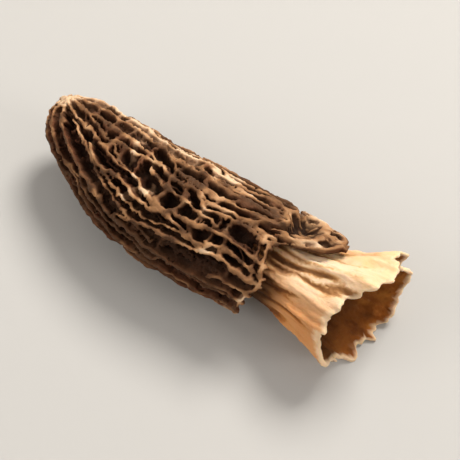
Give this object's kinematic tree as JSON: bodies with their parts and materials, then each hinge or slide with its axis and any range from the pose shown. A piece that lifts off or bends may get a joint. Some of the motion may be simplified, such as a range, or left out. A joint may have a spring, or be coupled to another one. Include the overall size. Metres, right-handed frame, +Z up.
{
  "type": "morel mushroom",
  "caption": "Dried morel mushroom on its side: tapered cap with lengthwise ridges and pits, and a short fluted hollow stem that flares to a torn open end.",
  "frame": {"origin": "centre of the bounding box in plan, at the surface that the mushroom lies on", "axes": "+X from the tip of the cap to the torn end of the stem, +Z up from the surface it lies on"},
  "size_m": [0.0464, 0.0168, 0.0137],
  "materials": {
    "dried_flesh": "matte, dry and wrinkled, with tan ridge edges over near-black pits and a cream stem"
  },
  "bodies": {
    "root": {"morel_mushroom": "dried_flesh"}
  },
  "joints": []
}
